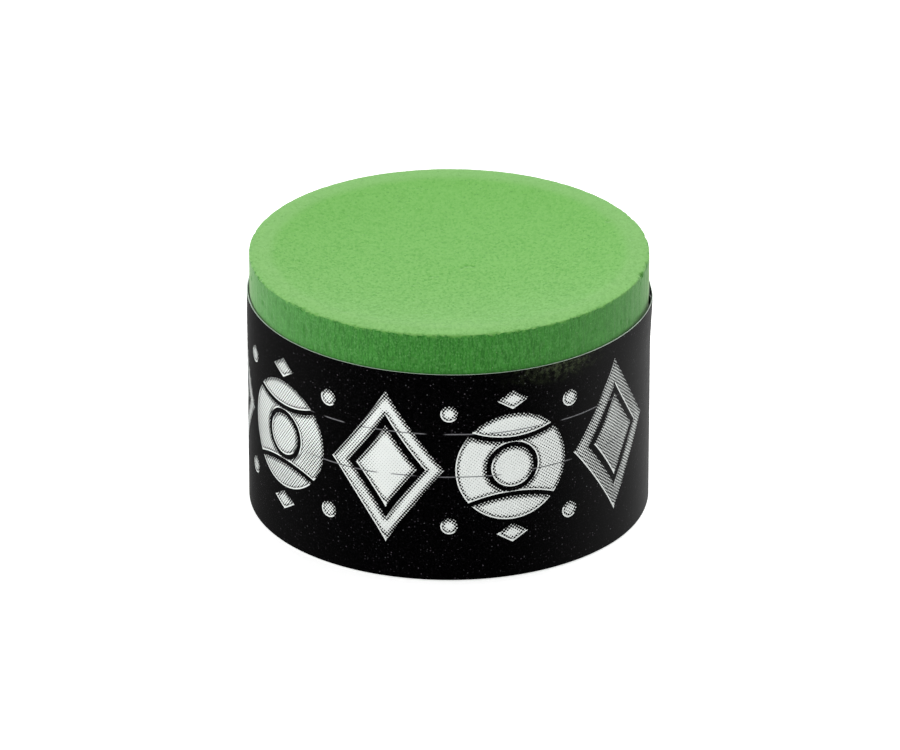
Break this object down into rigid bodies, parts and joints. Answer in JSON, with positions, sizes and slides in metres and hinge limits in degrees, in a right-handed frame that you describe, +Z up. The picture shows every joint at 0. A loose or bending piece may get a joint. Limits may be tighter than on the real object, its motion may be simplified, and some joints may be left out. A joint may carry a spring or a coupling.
{
  "type": "round cue chalk",
  "caption": "Round pressed cue chalk with a shallow hollow in its top and a glossy black label wrapped round its side.",
  "frame": {"origin": "centre of the flat base, on the surface the chalk stands on", "axes": "+Z up through the hollow, front of the label towards -Y, label seam at the +X side"},
  "size_m": [0.029, 0.0288, 0.0191],
  "materials": {
    "chalk": "matt pressed powder",
    "adhesive": "tacky clear film",
    "film": "black printed film",
    "foil": "silver print in fine dots",
    "laminate": "clear gloss film"
  },
  "bodies": {
    "root": {"chalk_puck": "chalk", "label_adhesive": "adhesive", "label_film": "film", "silver_motifs": "foil", "clear_laminate": "laminate"}
  },
  "joints": []
}
